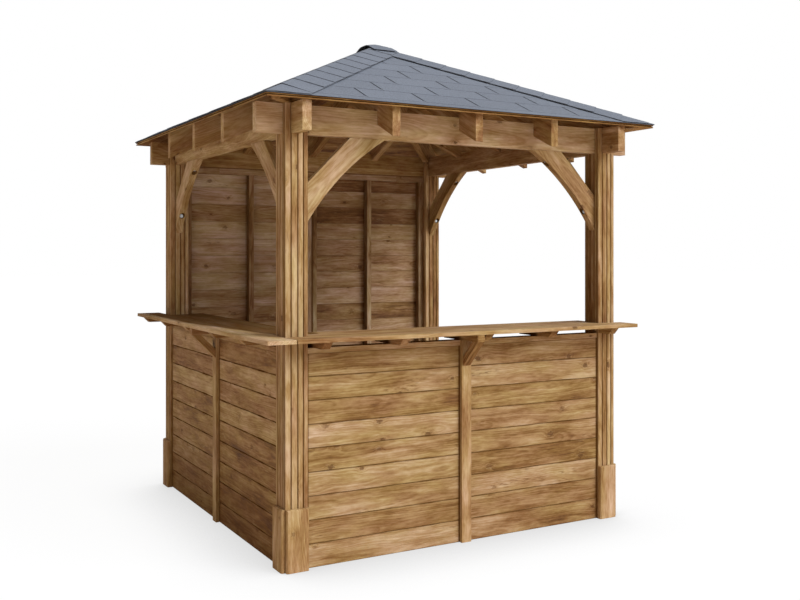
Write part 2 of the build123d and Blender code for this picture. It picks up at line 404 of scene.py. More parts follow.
def hip_side(piece, first, second):
    one, two = outward[first], outward[second]
    along = (one + two).normalized()
    over = (two - one).normalized()
    reach = shingle_reach * math.sqrt(2)

    def placed(point, lift):
        run, across = point
        bent = math.sqrt(across * across + cap_fold * cap_fold)
        distance = (run + bent) / math.sqrt(2)
        return along * run + over * across + up * (underside(distance) + shingle_plumb + lift * slant)

    lower_ends = [cap_first_lap]
    while lower_ends[-1] < reach:
        lower_ends.append(lower_ends[-1] + cap_exposure)
    for lower_end in lower_ends:
        member = three_chances()
        upper_end = lower_end - cap_length
        skew = chance.uniform(-cap_skew, cap_skew)
        half_width = hip_cap_width / 2 + chance.uniform(-cap_narrowing, 0.0)

        def raised(point, extra):
            # The lower end lies on the next cap, and flat on the shingles near the eave
            share = (lower_end - point[0]) / cap_length
            to_eave = (reach - point[0] - abs(point[1])) / cap_flattening_run
            settled = cap_flat_share + (1 - cap_flat_share) * min(max(to_eave, 0), 1)
            return placed(point, cap_low_lift * (1 - share) * settled + extra)

        for left, right_end in zip(cap_steps[:-1], cap_steps[1:]):
            a, b = left * half_width, right_end * half_width
            skew_a, skew_b = (2 * skew * across / hip_cap_width for across in (a, b))
            outline = [(upper_end, a), (upper_end, b), (lower_end + skew_b, b), (lower_end + skew_a, a)]
            outline = keep_inside(outline, lambda p: reach - p[0] - abs(p[1]))
            outline = keep_inside(outline, lambda p: p[0] - abs(p[1]) - cap_top_gap * math.sqrt(2))
            if len(outline) >= 3:
                bottom, top = (lambda p, lift=lift: raised(p, lift) for lift in (cap_bottom_lift, cap_sheet))
                plate(piece, outline, bottom, top, member, (0.5, 1))


# Apex cap, one sheet folded over the top, with open ends

apex_rows = 14
apex_columns = 8
apex_fold = 0.008
apex_blend = 0.006


def apex_sheet():
    piece = Piece("apex_sheet")
    lap = apex_cap_length / 2
    end = apex_cap_width / 2
    top_level = apex_height + shingle_plumb + (hip_cap_thickness + apex_cap_thickness) * slant

    def drop(x, y):
        # The larger of the fall down the slopes and the fall toward the open ends, blended where they meet
        down_slope = slope * math.sqrt(y * y + apex_fold ** 2)
        down_end = apex_cap_droop * abs(x) / end
        apart = abs(down_slope - down_end)
        return max(down_slope, down_end) + apex_blend * math.exp(-apart / apex_blend) * 0.5

    grid = [
        (end * (2 * i / apex_columns - 1), lap * (2 * j / apex_rows - 1))
        for j in range(apex_rows + 1) for i in range(apex_columns + 1)
    ]
    top = [Vector((x, y, top_level - drop(x, y))) for x, y in grid]
    bottom = [point - up * apex_sheet_thickness * slant for point in top]
    wide = apex_columns + 1
    total = len(grid)
    faces = []
    for j in range(apex_rows):
        for i in range(apex_columns):
            here = j * wide + i
            faces.append((here, here + 1, here + wide + 1, here + wide))
            faces.append(tuple(total + k for k in (here, here + wide, here + wide + 1, here + 1)))
    rim = list(range(apex_columns)) + [apex_columns + j * wide for j in range(apex_rows)]
    rim += [total - 1 - i for i in range(apex_columns)] + [(apex_rows - j) * wide for j in range(apex_rows)]
    for here, there in zip(rim, rim[1:] + rim[:1]):
        faces.append((here, total + here, total + there, there))
    grain = [(x, y, shade) for shade in (1, 0.72) for x, y in grid]
    piece.add(top + bottom, faces, grain, three_chances())
    return piece


# Knee braces with drilled pockets for their bolts

brace_back_leg = 0.248
brace_middle_leg = 0.17
brace_round = 0.0025
sharp_angle = 0.6
arc_steps = 24
arc_middle = brace_belly_leg / 2 - brace_sagitta / math.sqrt(2)
arc_centre = (2 * arc_middle ** 2 - brace_belly_leg ** 2) / (4 * arc_middle - 2 * brace_belly_leg)
arc_radius = math.sqrt(2) * (arc_centre - arc_middle)
bolt_leg = 0.340
pocket_radius = 0.0175
pocket_depth = 0.018
pocket_sides = 28
drill_length = 0.2
bolt_head = 0.0095
bolt_head_levels = (0.0021, 0.0065, 0.0080)
crown_share = 0.82
washer_radius = 0.0120
washer_levels = (0.0001, 0.0016, 0.0021)
washer_sides = 24
washer_round = 0.0006


def belly(leg):
    # Distance from the corner to the belly, at a distance from the corner along the other leg
    return arc_centre - math.sqrt(arc_radius ** 2 - (leg - arc_centre) ** 2)


def bore(piece, foot, way):
    # Drills a pocket out from its foot, and gives back the drill
    cutter = bmesh.new()
    bmesh.ops.create_cone(
        cutter, cap_ends=True, segments=pocket_sides, radius1=pocket_radius, radius2=pocket_radius,
        depth=drill_length,
    )
    drill_mesh = bpy.data.meshes.new("pocket")
    cutter.to_mesh(drill_mesh)
    cutter.free()
    drill = linked("pocket", drill_mesh)
    turn = way.to_track_quat("Z", "Y").to_matrix().to_4x4()
    drill.matrix_world = Matrix.Translation(foot + way * drill_length / 2) @ turn
    cut = piece.modifiers.new("bore", "BOOLEAN")
    cut.operation = "DIFFERENCE"
    cut.solver = "EXACT"
    cut.object = drill
    return drill


def knee_brace(side, end, end_name, lightness, material, bolts):
    line = beam_inset_line if side in ("front", "left") else beam_far_line
    out, right = outward[side], rightward(side)
    corner = out * line - right * end * half_bay + up * beam_bottom

    def placed(leg, drop, through=0.0):
        return corner + right * end * leg - up * drop + out * through

    start = math.atan2(-arc_centre, brace_belly_leg - arc_centre)
    stop = math.atan2(brace_belly_leg - arc_centre, -arc_centre)
    sweep = (stop - start) % (-2 * math.pi)
    outline = [(0, brace_back_leg), (brace_back_leg, 0)]
    for step in range(arc_steps + 1):
        angle = start + sweep * step / arc_steps
        outline.append(tuple(arc_centre + arc_radius * wave(angle) for wave in (math.cos, math.sin)))
    mesh = bmesh.new()
    rings = [
        [mesh.verts.new(placed(*point, through)) for point in outline]
        for through in (-brace_thickness / 2, brace_thickness / 2)
    ]
    mesh.faces.new(rings[0])
    mesh.faces.new(list(reversed(rings[1])))
    for index in range(len(outline)):
        after = (index + 1) % len(outline)
        mesh.faces.new((rings[0][after], rings[0][index], rings[1][index], rings[1][after]))
    bmesh.ops.recalc_face_normals(mesh, faces=mesh.faces)
    sharp = [edge for edge in mesh.edges if edge.calc_face_angle(0) > sharp_angle]
    bmesh.ops.bevel(mesh, geom=sharp, offset=brace_round, segments=2, affect="EDGES", profile=0.5)
    name = f"knee_brace_{side}_{end_name}"
    plain = bpy.data.meshes.new(name)
    mesh.to_mesh(plain)
    mesh.free()
    piece = linked(name, plain)
    depth = belly(bolt_leg) - pocket_depth
    pockets = ((placed(depth, bolt_leg), right * end), (placed(bolt_leg, depth), -up))
    drills = [bore(piece, foot, way) for foot, way in pockets]
    bpy.context.view_layer.update()
    finished = bpy.data.meshes.new_from_object(piece.evaluated_get(bpy.context.evaluated_depsgraph_get()))
    piece.modifiers.clear()
    piece.data = finished
    for drill in drills:
        bpy.data.objects.remove(drill)
    for foot, way in pockets:
        add_bolt(bolts, foot, way)

    ways = ((up + right * end).normalized(), (up - right * end).normalized(), out)
    middle = placed(brace_middle_leg, brace_middle_leg)
    keep_vectors(finished, "grain", [[(v.co - middle).dot(way) for way in ways] for v in finished.vertices])
    member = (lightness, *three_chances()[1:])
    keep_vectors(finished, "member", [member] * len(finished.vertices))
    # Painted shade on the faces inside a pocket, along its wall or across its foot
    dirt_and_shade = finished.attributes.new("dirt_and_shade", "FLOAT", "FACE")
    for face in finished.polygons:
        for foot, way in pockets:
            off = face.center - foot
            aside = off - way * off.dot(way)
            turned = abs(face.normal.dot(way))
            if aside.length < pocket_radius * 1.02 and (turned < 0.05 or turned > 0.99):
                dirt_and_shade.data[face.index].value = 1
    finished.materials.clear()
    finished.materials.append(material)
    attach(piece, "root")
    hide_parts(f"brace_{side}_{end_name}")


def add_bolt(bolts, foot, way):
    # Hexagon head with a rounded crown on a round washer
    aside = way.orthogonal().normalized()
    other = way.cross(aside)
    for count, radii, levels in (
        (washer_sides, (washer_radius, washer_radius, washer_radius - washer_round), washer_levels),
        (6, (bolt_head, bolt_head, bolt_head * crown_share), bolt_head_levels),
    ):
        angles = [2 * math.pi * index / count for index in range(count)]
        spokes = [aside * math.cos(angle) + other * math.sin(angle) for angle in angles]
        rings = [
            [foot + way * level + spoke * radius for spoke in spokes] for radius, level in zip(radii, levels)
        ]
        loft(bolts, rings, [[(0, 0, 0)] * count] * len(rings), (0.5, 0.5, 0.5))


# Materials


class Number:
    # A number that the shader works out at each point
    def __init__(self, graph, socket):
        self.graph = graph
        self.socket = socket

    def __add__(self, other):
        return self.graph.math("ADD", self, other)

    __radd__ = __add__

    def __sub__(self, other):
        return self.graph.math("SUBTRACT", self, other)

    def __mul__(self, other):
        return self.graph.math("MULTIPLY", self, other)

    def __truediv__(self, other):
        return self.graph.math("DIVIDE", self, other)

    def __abs__(self):
        return self.graph.math("ABSOLUTE", self)

    def above(self, limit):
        return self.graph.math("GREATER_THAN", self, limit)

    def below(self, limit):
        return self.graph.math("LESS_THAN", self, limit)

    def spread(self, low, high, to_low=0.0, to_high=1.0):
        # Turns the range from low to high into another, and stays at its ends outside it
        made = self.graph.node("MapRange", {0: self, 1: low, 2: high, 3: to_low, 4: to_high})
        return Number(self.graph, made.outputs[0])


class Graph:
    # Short names for the shader nodes of one material or of the world
    def __init__(self, owner):
        owner.use_nodes = True
        self.owner = owner
        self.tree = owner.node_tree
        self.shader = self.find("BSDF_PRINCIPLED", "BACKGROUND")
        self.output = self.find("OUTPUT_MATERIAL", "OUTPUT_WORLD")

    def find(self, *kinds):
        return next(node for node in self.tree.nodes if node.type in kinds)

    def put(self, socket, value):
        value = getattr(value, "socket", value)
        if isinstance(value, bpy.types.NodeSocket):
            self.tree.links.new(value, socket)
        else:
            socket.default_value = value

    def surface(self, inputs):
        # Sets inputs of the shader, and gives back its material
        for label, value in inputs.items():
            self.put(self.shader.inputs[label], value)
        return self.owner

    def node(self, kind, inputs=(), **settings):
        made = self.tree.nodes.new("ShaderNode" + kind)
        for key, value in settings.items():
            setattr(made, key, value)
        for key, value in dict(inputs).items():
            self.put(made.inputs[key], value)
        return made

    def math(self, operation, first, second=0.0):
        return Number(self, self.node("Math", {0: first, 1: second}, operation=operation).outputs[0])

    def largest(self, first, *others):
        for other in others:
            first = self.math("MAXIMUM", first, other)
        return first

    def vector(self, operation, first, second=(0, 0, 0)):
        # A dot product or length is a number, and every other result a vector
        made = self.node("VectorMath", {0: first, 1: second}, operation=operation).outputs
        return Number(self, made["Value"]) if operation in ("DOT_PRODUCT", "LENGTH") else made["Vector"]

    def split(self, vector):
        return [Number(self, output) for output in self.node("SeparateXYZ", {0: vector}).outputs]

    def join(self, x, y, z):
        return self.node("CombineXYZ", {0: x, 1: y, 2: z}).outputs[0]

    def here(self):
        # The point's place in the model
        return self.node("TexCoord").outputs["Object"]

    def reach(self, way):
        # How far the point lies along a direction
        return self.vector("DOT_PRODUCT", self.here(), tuple(way))

    def kept(self, label, output="Vector"):
        # What the mesh keeps there under a label
        return self.node("Attribute", attribute_name=label).outputs[output]

    def noise(self, place, scale=1.0, detail=2.0, rough=0.5):
        made = self.node("TexNoise", {"Vector": place, "Scale": scale, "Detail": detail, "Roughness": rough})
        return Number(self, made.outputs[0])

    def ramp(self, value, stops):
        made = self.node("ValToRGB", {0: value})
        elements = made.color_ramp.elements
        while len(elements) < len(stops):
            elements.new(0.5)
        for element, (place, colour) in zip(elements, stops):
            element.position = place
            element.color = (*colour, 1)
        return made.outputs[0]

    def mix(self, share, first, second, blend="MIX"):
        # The first colour at 0 and the second at 1, each a socket or red, green and blue
        made = self.node("Mix", data_type="RGBA", blend_type=blend)
        for place, value in ((0, share), (6, first), (7, second)):
            self.put(made.inputs[place], (*value, 1) if isinstance(value, tuple) else value)
        return made.outputs[2]

    def either(self, share, first, second):
        # The first vector at 0 and the second at 1
        made = self.node("Mix", {0: share, 4: first, 5: second}, data_type="VECTOR")
        return made.outputs[1]

    def bump(self, height, strength, distance, **inputs):
        made = self.node("Bump", {"Strength": strength, "Distance": distance, "Height": height, **inputs})
        return made.outputs[0]


wood_tones = (
    (0.00, (0.085, 0.033, 0.010)),
    (0.25, (0.225, 0.112, 0.036)),
    (0.50, (0.384, 0.241, 0.108)),
    (0.75, (0.550, 0.402, 0.240)),
    (1.00, (0.720, 0.585, 0.425)),
)
wood_tints = ((0.10, (1.03, 0.975, 1.04)), (0.90, (0.985, 1.00, 0.84)))
pale_dash = (0.62, 0.45, 0.25)
dark_dash = (0.130, 0.058, 0.020)
knot_colour = (0.110, 0.046, 0.016)
knot_rim_colour = (0.050, 0.021, 0.009)
# Colour of dirt and of painted shade on wood
wood_dirt_and_shade = (0.100, 0.041, 0.008)
# Paler colour of the arrises: wear and a painted highlight
worn_and_highlit_wood = (0.58, 0.40, 0.21)
wood_gloss = 0.15
arris_radius = 0.0022
knot_run = 3.4
knot_rise = 10.0
knot_radii = (0.003, 0.0098)
ring_width = 0.0085
heart_offsets = (-0.06, 0.06)
heart_depths = (0.010, 0.060)
trunk_taper = 0.022


def wood(name, place, member, tone=0.5, spread=0.26, knots=0.34, grime_and_shade=None, wash=None, swirls=0.5):
    # Softwood. place and member give a graph the vector along, across and through the grain in
    # metres and the chance values of a board. tone is the mean lightness and spread how far the
    # boards differ, knots the share of places with a knot, the function given for grime and shade tells
    # where dirt and painted shade lie, wash multiplies the colour, and swirls is the strength of the dashes.
    graph = Graph(bpy.data.materials.new(name))
    spot = place(graph)
    chances = member(graph)
    moved = graph.vector("ADD", spot, graph.vector("MULTIPLY", chances, (37.0, 19.0, 11.0)))
    along, across, depth = graph.split(moved)
    real_along, real_across, real_depth = graph.split(spot)
    chance_a, chance_b, chance_c = graph.split(chances)

    def drawn_noise(run, rise, detail=1.0, rough=0.5):
        # Noise drawn out along the grain
        return graph.noise(graph.vector("MULTIPLY", moved, (run, rise, rise)), 1.0, detail, rough)

    def pattern(run, rise, detail, rough=0.6):
        return drawn_noise(run, rise, detail, rough) - 0.5

    # Knots, one or none in each cell of a loose pattern along the face
    cells = graph.join(along * knot_run, (across + depth) * knot_rise, 0.0)
    voronoi = {"Vector": cells, "Scale": 1.0, "Randomness": 0.9}
    knot = graph.node("TexVoronoi", voronoi, voronoi_dimensions="2D").outputs
    away = graph.split(graph.vector("SUBTRACT", cells, knot["Position"]))
    away = graph.join(away[0] / knot_run * 0.70, away[1] / knot_rise, 0.0)
    cell_chance = graph.split(knot["Color"])
    present = cell_chance[0].below(knots)
    darkness = present * cell_chance[2].spread(0, 1, 0.35, 1.0)
    ratio = graph.vector("LENGTH", away) / cell_chance[1].spread(0, 1, *knot_radii)
    ratio = ratio + pattern(75.0, 110.0, 2.0) * 2.6
    knot_core = ratio.spread(0.70, 1.30, 1, 0) * darkness
    knot_rim = abs(ratio - 1.1).spread(0, 0.40, 1, 0) * darkness
    knot_halo = ratio.spread(0.8, 5.0, 1, 0) * present
    # Yearly rings of a trunk whose heart lies behind the face, wavering and bent round the knots
    ring_across = real_across - chance_b.spread(0, 1, *heart_offsets) + pattern(1.6, 8.0, 2.0, 0.5) * 0.06
    ring_depth = real_depth + (chance_c.spread(0, 1, *heart_depths) + real_along * trunk_taper)
    ring_depth = ring_depth + pattern(2.6, 5.0, 2.0, 0.5) * 0.05
    radius = graph.vector("LENGTH", graph.join(ring_across, ring_depth, 0.0)) + knot_halo * knot_halo * 0.018
    ring = graph.math("FRACT", radius / ring_width)
    late = ring.spread(0.30, 0.86) * ring.spread(0.86, 1.0, 1, 0)
    bands = graph.noise(graph.join(radius * 85.0, chance_a, chance_b), 1.0, 2.0, 0.6) - 0.5
    # Streaks, flecks, fibres, broad stains and checks along the board
    streaks = pattern(3.2, 36.0, 3.0)
    flecks = pattern(24.0, 95.0, 2.0)
    fibres = pattern(14.0, 420.0, 1.0)
    stains = pattern(3.4, 12.0, 2.0)
    checks = drawn_noise(5.5, 150.0).spread(0.66, 0.74)
    light = tone + (chance_a - 0.5) * spread
    for layer, amount in (
        (streaks, 0.50), (bands, 0.46), (stains, 0.78), (flecks, 0.34), (fibres, 0.16),
        (late, -0.10), (checks, -0.16), (knot_halo, -0.10),
    ):
        light = light + layer * amount
    hue = chance_b.spread(0, 1, 0.3, 0.7) + pattern(3.2, 11.0, 2.0) * 2.4
    colour = graph.mix(1.0, graph.ramp(light, wood_tones), graph.ramp(hue, wood_tints), "MULTIPLY")
    if wash:
        colour = graph.mix(1.0, colour, wash, "MULTIPLY")
    # Loose groups of short dark dashes beside paler ones, where the grain swirls
    dashes = drawn_noise(26.0, 120.0)
    swirl = graph.largest(drawn_noise(3.4, 16.0).spread(0.64, 0.74), present * ratio.spread(1.2, 3.4, 1, 0))
    for share, shade in (
        (swirl * dashes.spread(0.34, 0.46, 0.30 * swirls, 0), pale_dash),
        (swirl * dashes.spread(0.54, 0.64, 0, 0.60 * swirls), dark_dash),
        (knot_core * 0.75, knot_colour),
        (knot_rim * 0.60, knot_rim_colour),
    ):
        colour = graph.mix(share, colour, shade)
    # Dirt and painted shade without gloss, and rounded arrises made slightly paler by wear and a painted
    # highlight
    graph.surface({"Specular IOR Level": wood_gloss})
    if grime_and_shade:
        dirt_and_shade = grime_and_shade(graph)
        colour = graph.mix(dirt_and_shade, colour, wood_dirt_and_shade)
        graph.surface({"Specular IOR Level": dirt_and_shade.spread(0, 0.6, wood_gloss, 0)})
    rounded = graph.node("Bevel", {"Radius": arris_radius}, samples=4).outputs[0]
    turned = graph.vector("DOT_PRODUCT", rounded, graph.node("NewGeometry").outputs["Normal"])
    worn_and_highlit = turned.spread(0.80, 0.995, 1, 0) * streaks.spread(-0.15, 0.15, 0.25, 0.75)
    height = late * 0.35 + fibres * 0.45 - knot_rim * 0.5 - checks * 0.4
    return graph.surface({
        "Base Color": graph.mix(worn_and_highlit * 0.5, colour, worn_and_highlit_wood),
        "Roughness": late * -0.10 + stains.spread(-0.5, 0.5, 0.68, 0.86),
        "Normal": graph.bump(height, 0.55, 0.0009, Normal=rounded),
    })


def own_place(graph):
    return graph.kept("grain")


def own_member(graph):
    return graph.kept("member")


# Where the painted shade beside a piece begins and ends, from the middle of the wall or of the stud
beside_post = (half_bay - 0.013, half_bay - 0.005)
beside_batten = (0.0350, 0.0430)
beside_stud = (0.022, 0.031)
beside_stud_pair = (0.040, 0.049)
outside_joint = (0.0046, 0.0016)
joint_waver = 0.0012
# Painted shade towards the ground, and its strength beside posts, battens and studs
foot_shade_height = 0.50
foot_shade_waver = 0.04
outside_painted_shade = 0.85
inside_painted_shade = 0.55
back_joint_dirt = 0.25


def wall_dirt_and_shade(side, strength, foot_shade):
    # Dirt along the boards' outer joints, and painted shade beside the posts and battens, at the studs and
    # darkening towards the ground
    half_width = (wall_board_pitch - wall_board_gap) / 2

    def grime_and_shade(graph):
        along, across, depth = graph.split(own_place(graph))
        patchy = graph.noise(graph.join(along * 7.0, across * 2.0, 0.0))
        reach = abs(across) + patchy.spread(0.3, 0.7, -joint_waver, joint_waver)
        joint = reach.spread(*(half_width - inward for inward in outside_joint))
        joint = joint * patchy.spread(0.35, 0.60, strength * 0.45, strength)
        off_middle = abs(graph.reach(rightward(side)))
        post = off_middle.spread(*beside_post, 0, outside_painted_shade)
        batten = off_middle.spread(*beside_batten, outside_painted_shade, 0)
        foot = graph.reach(up) + patchy.spread(0.3, 0.7, -foot_shade_waver, foot_shade_waver)
        outside = graph.largest(joint, post, batten, foot.spread(0.0, foot_shade_height, foot_shade, 0))
        stud = abs(off_middle - stud_lines[1]).spread(*beside_stud, inside_painted_shade, 0)
        stud_pair = off_middle.spread(*beside_stud_pair, inside_painted_shade, 0)
        back_joint = reach.spread(half_width - joint_waver, half_width, 0, back_joint_dirt)
        inside = graph.largest(stud, stud_pair, back_joint)
        picked = graph.node("Mix", {0: depth.above(board_thickness / 2), 2: inside, 3: outside})
        return Number(graph, picked.outputs[0])
    return grime_and_shade


# How near to a face a point has to lie to be on it
groove_skin = 0.0002
top_skin = 0.0005
post_skin = 0.0006
stud_skin = 0.0007
rail_skin = 0.001


def groove_painted_shade(graph):
    # Painted shade in the groove of the eave board
    depth = graph.split(own_place(graph))[2]
    return abs(depth - deck_plumb / 2).below(groove_height / 2 + groove_skin) * 0.85


def stud_painted_shade(side, height):
    # Painted shade on the studs' sides, in the joint of the middle pair, and at the frame's head under the
    # beam
    def grime_and_shade(graph):
        level = graph.reach(up)
        reach = abs(graph.reach(rightward(side)))
        off_studs = [abs(reach - line) for line in stud_lines]
        sides = graph.largest(
            *[off.above(stud_half - stud_skin) * off.below(stud_half + stud_skin) for off in off_studs]
        )
        upright = level.below(height - rail_height - rail_skin)
        joint = reach.spread(0.006, 0.009, 0.85, 0) * upright
        head = level.spread(height - 0.010, height - 0.004, 0, 0.8)
        return graph.largest(sides * upright * 0.55, joint, head)
    return grime_and_shade


def flute_painted_shade(low_x, low_y, shade_strip, strength):
    # Painted shade in the flutes of a post, and a strip of painted shade on its left face that starts at the
    # front edge
    def grime_and_shade(graph):
        x, y = graph.reach(x_way), graph.reach(y_way)
        nearest = post_side
        for reach, low in ((x, low_x), (y, low_y)):
            for offset in flute_offsets:
                nearest = graph.math("MINIMUM", abs(reach - (low + offset)), nearest)
        flutes = nearest.spread(0.0022, 0.0050, 0.62, 0)
        if not shade_strip:
            return flutes
        return graph.largest(flutes, x.below(low_x + post_skin) * y.below(low_y + shade_strip) * strength)
    return grime_and_shade


def pocket_painted_shade(graph):
    return Number(graph, graph.kept("dirt_and_shade", "Fac")) * 0.8


def counter_top_painted_shade(graph):
    # The top of the left counter carries a painted shadow of the roof, but for a band along its outer edge,
    # and is darker towards its back end
    x, y, level = graph.split(graph.here())
    inward = x - y.spread(-1.0, 0.1, 0.15, 0)
    roof_shade = inward.spread(-1.176, -1.144, 0, 0.82) * level.above(counter_level)
    return graph.largest(roof_shade, y.spread(0.50, 0.90, 0, 0.52))


def bearer_shade(way):
    # Painted shade on the bearers, from the wall inwards under the counter
    return lambda graph: graph.reach(way).spread(-1.035, -1.0, 0, 0.75)


def shaded_top(graph):
    # Painted shade on the tops of the cap rails, which lie under the counter
    return graph.reach(up).above(cap_rail_top - top_skin) * 0.85


def turned_place(along, across, depth, start=(0, 0, 0)):
    # Grain vector of a fixed timber, from its place in the model
    def place(graph):
        here = graph.vector("SUBTRACT", graph.here(), tuple(start))
        return graph.join(*(graph.vector("DOT_PRODUCT", here, tuple(way)) for way in (along, across, depth)))
    return place


def parted_place(limit, right_place, left_place):
    # One grain vector to the right of a limit and another to its left
    def place(graph):
        on_left = graph.reach(x_way).below(limit)
        return graph.either(on_left, right_place(graph), left_place(graph))
    return place


def framed_place(side, height):
    # Grain vector of a wall frame, upright in the studs and level in the rails
    out, right = outward[side], rightward(side)

    def place(graph):
        level = graph.reach(up)
        in_rail = level.below(rail_height) + level.above(height - rail_height)
        upright, lying = turned_place(up, right, out), turned_place(right, up, out)
        return graph.either(in_rail, upright(graph), lying(graph))
    return place


def hashed(*cells, seed):
    # Chance values that change from cell to cell: up to two directions, each with its dividing places
    def member(graph):
        counts = []
        for way, places in cells:
            reach = graph.reach(way)
            counts.append(sum(reach.above(place) for place in places))
        spot = graph.join(*(counts + [0.0, 0.0])[:2], seed)
        return graph.node("TexWhiteNoise", {"Vector": spot}, noise_dimensions="3D").outputs["Color"]
    return member


def metal(name):
    # Zinc-plated steel, a little dulled
    graph = Graph(bpy.data.materials.new(name))
    dull = graph.noise(graph.here(), 260.0, 3.0, 0.6)
    return graph.surface({
        "Base Color": graph.ramp(dull, ((0.3, (0.50, 0.50, 0.49)), (0.7, (0.74, 0.74, 0.73)))),
        "Roughness": dull.spread(0.3, 0.7, 0.45, 0.28),
        "Metallic": 1.0,
        "Normal": graph.bump(dull, 0.3, 0.0003),
    })


slate_tone = (0.159, 0.182, 0.223)
warm_granule = (0.26, 0.25, 0.25)
slate_core = (0.020, 0.021, 0.025)


def slate(name):
    # Mineral-coated felt: fine granules, a tone of its own for each tab, faint weather streaks
    graph = Graph(bpy.data.materials.new(name))
    here = graph.here()
    granules = graph.noise(here, 300.0, 2.0, 0.7)
    light = graph.split(own_member(graph))[0].spread(0, 1, 0.96, 1.05)
    for layer, amount in (
        (granules, 1.0),
        (graph.noise(here, 95.0, 3.0, 0.6), 0.75),
        (graph.noise(here, 2.5, 3.0, 0.6), 0.22),
    ):
        light = light + (layer - 0.5) * amount
    grey = graph.node("CombineColor", {0: light, 1: light, 2: light}).outputs[0]
    colour = graph.mix(1.0, slate_tone, grey, "MULTIPLY")
    colour = graph.mix(graph.noise(here, 900.0, 0.0).spread(0.60, 0.75, 0, 0.35), colour, warm_granule)
    core = graph.split(own_place(graph))[2].spread(0.55, 0.98, 1, 0)
    return graph.surface({
        "Base Color": graph.mix(core, colour, slate_core),
        "Roughness": granules.spread(0, 1, 0.80, 0.98),
        "Specular IOR Level": 0.3,
        "Normal": graph.bump(granules, 0.5, 0.0012),
    })


def dress(node, material):
    # Gives a piece of the construction its material
    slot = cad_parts[node].material_slots[0]
    slot.link = "OBJECT"
    slot.material = material


# Timbers of the construction

seed = 1.0
# Tone of each post, and the width and strength of the strip of painted shade on its left face
for depth_name, width_name, tone, shade_strip, strength in (
    ("front", "left", 0.47, 0.032, 0.60),
    ("front", "right", 0.55, 0.120, 0.50),
    ("back", "left", 0.58, 0, 0),
    ("back", "right", 0.48, 0, 0),
):
    seed += 1
    post_line = half - post_side / 2
    low_x = outward[width_name].x * post_line - post_side / 2
    low_y = outward[depth_name].y * post_line - post_side / 2
    strips = [
        (way, [low + offset for offset in flute_offsets]) for way, low in ((x_way, low_x), (y_way, low_y))
    ]
    dress(f"post_{depth_name}_{width_name}", wood(
        f"post_wood_{depth_name}_{width_name}",
        turned_place(up, x_way, y_way, (low_x, low_y, 0)),
        hashed(*strips, seed=seed),
        tone=tone,
        spread=0.34,
        knots=0.30,
        grime_and_shade=flute_painted_shade(low_x, low_y, shade_strip, strength),
    ))

# A point inside each beam, out and up from the middle, and the level of one inside the rafters
beam_core = (0.96, 2.2)
rafter_core = 2.6
sine, cosine = math.sin(roof_pitch), math.cos(roof_pitch)
# The tones by side are partly painted light: a lighter front beam, and darker back and right beams and
# rafters, as lit and shaded copies of one wood
for side, beam_tone, rafter_tone in (
    ("front", 0.73, 0.50), ("right", 0.53, 0.38), ("back", 0.47, 0.38), ("left", 0.60, 0.50),
):
    seed += 1
    out, right = outward[side], rightward(side)
    along_beam = turned_place(right, up, out, out * beam_core[0] + up * beam_core[1])
    dress(f"beam_{side}", wood(
        f"beam_wood_{side}", along_beam, hashed(seed=seed), tone=beam_tone, spread=0.1,
    ))
    uphill = (up * slope - out).normalized()
    up_rafter = turned_place(uphill, out * sine + up * cosine, right, up * rafter_core)
    member = hashed((right, (-rafter_spacing / 2, rafter_spacing / 2)), seed=seed + 20)
    dress(f"rafters_{side}", wood(f"rafter_wood_{side}", up_rafter, member, tone=rafter_tone))

for depth_name in ("front", "back"):
    for width_name in ("left", "right"):
        seed += 1
        out = (outward[depth_name] + outward[width_name]).normalized()
        across = up.cross(out)
        uphill = (up * slope / math.sqrt(2) - out).normalized()
        up_hip = turned_place(uphill, uphill.cross(across), across, up * rafter_core)
        material = wood(f"hip_wood_{depth_name}_{width_name}", up_hip, hashed(seed=seed), tone=0.42)
        dress(f"hip_rafter_{depth_name}_{width_name}", material)

brace_wood = wood(
    "brace_wood", own_place, own_member, tone=0.53, spread=0.22, grime_and_shade=pocket_painted_shade, wash=(0.97, 1.0, 1.0),
)
zinc = metal("zinc")
bolts = Piece("brace_bolts")
for side, end, end_name, lightness in (
    ("front", 1, "left", 0.84), ("front", -1, "right", 0.45), ("left", 1, "back", 0.85),
    ("left", -1, "front", 0.75), ("right", 1, "front", 0.5), ("right", -1, "back", 0.5),
):
    knee_brace(side, end, end_name, lightness, brace_wood, bolts)
bolts.finish(zinc, None)

for side, height in (("front", low_wall_height), ("left", low_wall_height), ("back", beam_bottom)):
    seed += 1
    studs = (rightward(side), (-0.69, -0.23, 0.0, 0.23, 0.69))
    rails = (up, (rail_height, height - rail_height))
    dress(f"wall_frame_{side}", wood(
        f"frame_wood_{side}", framed_place(side, height), hashed(studs, rails, seed=seed),
        tone=0.48, grime_and_shade=stud_painted_shade(side, height), wash=(1.0, 1.10, 1.40),
    ))

board_joints = (-1.04, -0.92)
